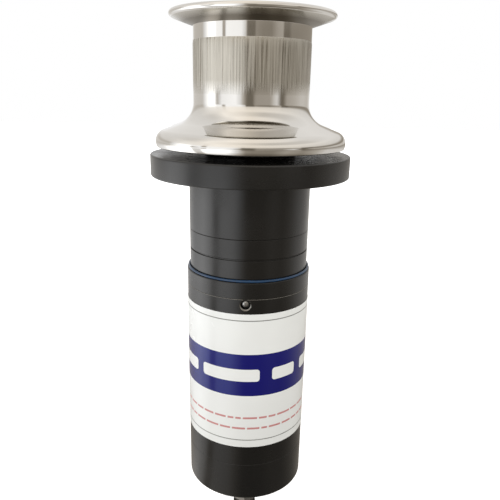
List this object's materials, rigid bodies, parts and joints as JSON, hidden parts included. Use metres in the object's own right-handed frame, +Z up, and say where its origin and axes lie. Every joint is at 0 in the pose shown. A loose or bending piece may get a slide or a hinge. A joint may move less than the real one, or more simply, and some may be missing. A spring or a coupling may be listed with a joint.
{
  "type": "anchor windlass",
  "caption": "Vertical electric anchor windlass: a polished flared rope drum on a black deck flange, with a planetary gearbox and a cylindrical motor hanging below deck.",
  "frame": {"origin": "on the shaft's axis at the underside of the deck flange, which is the deck plane", "axes": "+Z up along the shaft to the drum, -Z down to the motor; +Y away from the side with the visible bell screw"},
  "size_m": [0.16, 0.16, 0.4323],
  "materials": {
    "polished_steel": "mirror-polished stainless steel with fine vertical grip lines on the waist",
    "plain_steel": "machined steel",
    "bearing_steel": "ground bearing steel",
    "fastener_steel": "stainless fasteners, plain",
    "black_fastener": "black-oxide high-tensile fasteners",
    "bronze": "bearing bronze",
    "clutch_metal": "machined cone faces",
    "gear_steel": "hardened gear steel",
    "black_body": "black anodised aluminium, satin",
    "black_paint": "satin black paint over steel",
    "seal_rubber": "brown nitrile lip seal",
    "blue_rubber": "blue sealing ring, slightly glossy",
    "label_vinyl": "white gloss vinyl with a blue band and thin grey border lines, no lettering",
    "ferrite": "sintered ferrite",
    "lamination": "stacked electrical steel",
    "copper": "enamelled copper wire",
    "commutator_copper": "turned copper bars",
    "brass": "pressed brass",
    "carbon": "carbon brush",
    "phenolic": "brown phenolic board",
    "red_insulator": "moulded red insulator"
  },
  "bodies": {
    "housing": {"base_flange": "black_body", "flange_screws": "black_fastener", "gearbox_housing": "black_body", "gearbox_bolts": "black_fastener", "output_ring_gear": "black_paint", "input_ring_gear": "black_paint", "gearbox_seal_ring": "blue_rubber", "shaft_seal": "seal_rubber", "shaft_bearing_outer_rings": "bearing_steel", "shaft_bearing_balls": "bearing_steel", "motor_front_bell": "black_body", "bell_screws": "fastener_steel", "motor_shaft_seal": "seal_rubber", "motor_bearing_outer_rings": "bearing_steel", "motor_bearing_balls": "bearing_steel", "motor_tube": "black_paint", "magnets": "ferrite", "motor_label": "label_vinyl", "brush_plate": "phenolic", "brush_holders": "brass", "brushes": "carbon", "brush_springs": "plain_steel", "motor_end_cap": "black_body", "tie_bolts": "black_fastener", "terminal_studs": "fastener_steel", "terminal_insulators": "red_insulator", "terminal_washers": "fastener_steel", "terminal_nuts": "fastener_steel"},
    "armature": {"armature_shaft": "plain_steel", "armature_core": "lamination", "armature_windings": "copper", "commutator": "commutator_copper", "input_sun_pinion": "gear_steel", "motor_bearing_inner_rings": "bearing_steel"},
    "input_carrier": {"input_carrier": "plain_steel", "input_planet_pins": "bearing_steel", "output_sun_gear": "gear_steel"},
    "main_shaft": {"main_shaft": "plain_steel", "output_carrier": "plain_steel", "output_planet_pins": "bearing_steel", "bearing_spacer": "plain_steel", "shaft_circlip": "black_fastener", "shaft_bearing_inner_rings": "bearing_steel", "lower_clutch_cone": "clutch_metal", "shaft_keys": "plain_steel"},
    "drum": {"drum_barrel": "polished_steel", "drum_top_flange": "polished_steel", "drum_screws": "fastener_steel", "drum_bush": "bronze"},
    "upper_clutch_cone": {"upper_clutch_cone": "clutch_metal"},
    "clutch_nut": {"clutch_nut": "polished_steel"},
    "output_planet_1": {"output_planet_gear_1": "gear_steel", "output_planet_bush_1": "bronze"},
    "output_planet_2": {"output_planet_gear_2": "gear_steel", "output_planet_bush_2": "bronze"},
    "output_planet_3": {"output_planet_gear_3": "gear_steel", "output_planet_bush_3": "bronze"},
    "input_planet_1": {"input_planet_gear_1": "gear_steel"},
    "input_planet_2": {"input_planet_gear_2": "gear_steel"},
    "input_planet_3": {"input_planet_gear_3": "gear_steel"}
  },
  "joints": [
    {"name": "armature_spin", "type": "hinge", "parent": "housing", "child": "armature", "pos_m": [0, 0, -0.16], "axis": [0, 0, 1], "continuous": true},
    {"name": "input_carrier_spin", "type": "hinge", "parent": "housing", "child": "input_carrier", "pos_m": [0, 0, -0.06], "axis": [0, 0, 1], "continuous": true},
    {"name": "shaft_spin", "type": "hinge", "parent": "housing", "child": "main_shaft", "pos_m": [0, 0, 0], "axis": [0, 0, 1], "continuous": true},
    {"name": "drum_spin", "type": "hinge", "parent": "main_shaft", "child": "drum", "pos_m": [0, 0, 0.06], "axis": [0, 0, 1], "continuous": true},
    {"name": "clutch_lift", "type": "slide", "parent": "main_shaft", "child": "upper_clutch_cone", "axis": [0, 0, 1], "range_m": [0, 0.003]},
    {"name": "clutch_nut_turn", "type": "hinge", "parent": "upper_clutch_cone", "child": "clutch_nut", "pos_m": [0, 0, 0.11], "axis": [0, 0, 1], "range_deg": [0, 540]},
    {"name": "output_planet_spin_1", "type": "hinge", "parent": "main_shaft", "child": "output_planet_1", "pos_m": [0.0225, 0, -0.05], "axis": [0, 0, 1], "continuous": true},
    {"name": "output_planet_spin_2", "type": "hinge", "parent": "main_shaft", "child": "output_planet_2", "pos_m": [-0.01125, 0.01949, -0.05], "axis": [0, 0, 1], "continuous": true},
    {"name": "output_planet_spin_3", "type": "hinge", "parent": "main_shaft", "child": "output_planet_3", "pos_m": [-0.01125, -0.01949, -0.05], "axis": [0, 0, 1], "continuous": true},
    {"name": "input_planet_spin_1", "type": "hinge", "parent": "input_carrier", "child": "input_planet_1", "pos_m": [0.0225, 0, -0.068], "axis": [0, 0, 1], "continuous": true},
    {"name": "input_planet_spin_2", "type": "hinge", "parent": "input_carrier", "child": "input_planet_2", "pos_m": [-0.01125, 0.01949, -0.068], "axis": [0, 0, 1], "continuous": true},
    {"name": "input_planet_spin_3", "type": "hinge", "parent": "input_carrier", "child": "input_planet_3", "pos_m": [-0.01125, -0.01949, -0.068], "axis": [0, 0, 1], "continuous": true}
  ],
  "couplings": [
    {"joint": "input_carrier_spin", "follows": "armature_spin", "ratio": 0.2},
    {"joint": "shaft_spin", "follows": "armature_spin", "ratio": 0.04},
    {"joint": "clutch_nut_turn", "follows": "clutch_lift", "rad_per_m": 3141.6},
    {"joint": "output_planet_spin_1", "follows": "armature_spin", "ratio": -0.10667},
    {"joint": "output_planet_spin_2", "follows": "armature_spin", "ratio": -0.10667},
    {"joint": "output_planet_spin_3", "follows": "armature_spin", "ratio": -0.10667},
    {"joint": "input_planet_spin_1", "follows": "armature_spin", "ratio": -0.53333},
    {"joint": "input_planet_spin_2", "follows": "armature_spin", "ratio": -0.53333},
    {"joint": "input_planet_spin_3", "follows": "armature_spin", "ratio": -0.53333}
  ]
}
